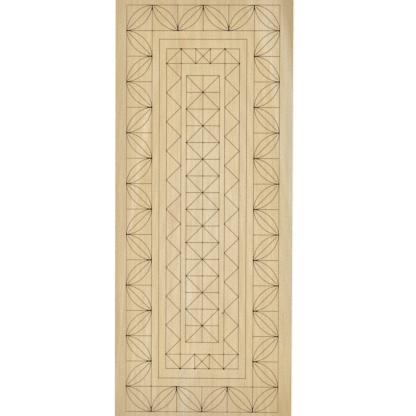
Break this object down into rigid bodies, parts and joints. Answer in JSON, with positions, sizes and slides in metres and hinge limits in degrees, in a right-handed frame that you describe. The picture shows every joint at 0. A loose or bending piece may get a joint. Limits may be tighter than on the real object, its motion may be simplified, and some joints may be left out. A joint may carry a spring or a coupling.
{
  "type": "chip carving practice board",
  "caption": "Flat lime wood board scored with fine burnt lines, a border of leaves, a frame, a band of triangles and a column of rayed squares, to chip carve along.",
  "frame": {"origin": "middle of the board's back face", "axes": "+X across the grain, +Y along the grain, +Z out of the face with the pattern"},
  "size_m": [0.1, 0.25, 0.01],
  "materials": {
    "lime_wood": "bare, fine sanded",
    "burnt_line": "matt, lightly charred",
    "burnt_dot": "matt, charred"
  },
  "bodies": {
    "root": {"plank": "lime_wood", "border_squares": "burnt_line", "border_leaves": "burnt_line", "border_tips": "burnt_dot", "frame_line": "burnt_line", "band_squares": "burnt_line", "band_triangles": "burnt_line", "band_points": "burnt_dot", "column_squares": "burnt_line", "column_rays": "burnt_line", "column_points": "burnt_dot"}
  },
  "joints": []
}
